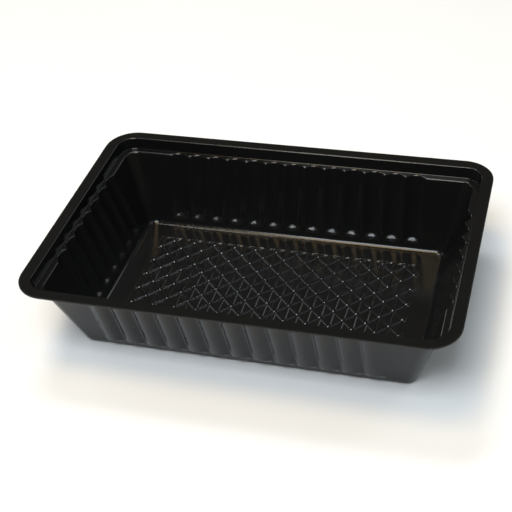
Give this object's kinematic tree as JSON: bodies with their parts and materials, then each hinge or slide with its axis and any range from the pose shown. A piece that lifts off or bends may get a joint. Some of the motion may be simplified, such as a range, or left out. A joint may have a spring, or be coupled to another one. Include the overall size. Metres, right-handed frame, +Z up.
{
  "type": "plastic food tray",
  "caption": "Empty black thermoformed food tray with a flat sealing flange, a stepped ledge, fluted leaning walls and a ribbed floor.",
  "frame": {"origin": "centre of the underside, on the surface the tray stands on", "axes": "+X along the long side, +Y along the short side, +Z up out of the open mouth"},
  "size_m": [0.229, 0.155, 0.05],
  "materials": {
    "black_plastic": "glossy black thermoformed polypropylene"
  },
  "bodies": {
    "root": {"tray": "black_plastic"}
  },
  "joints": []
}
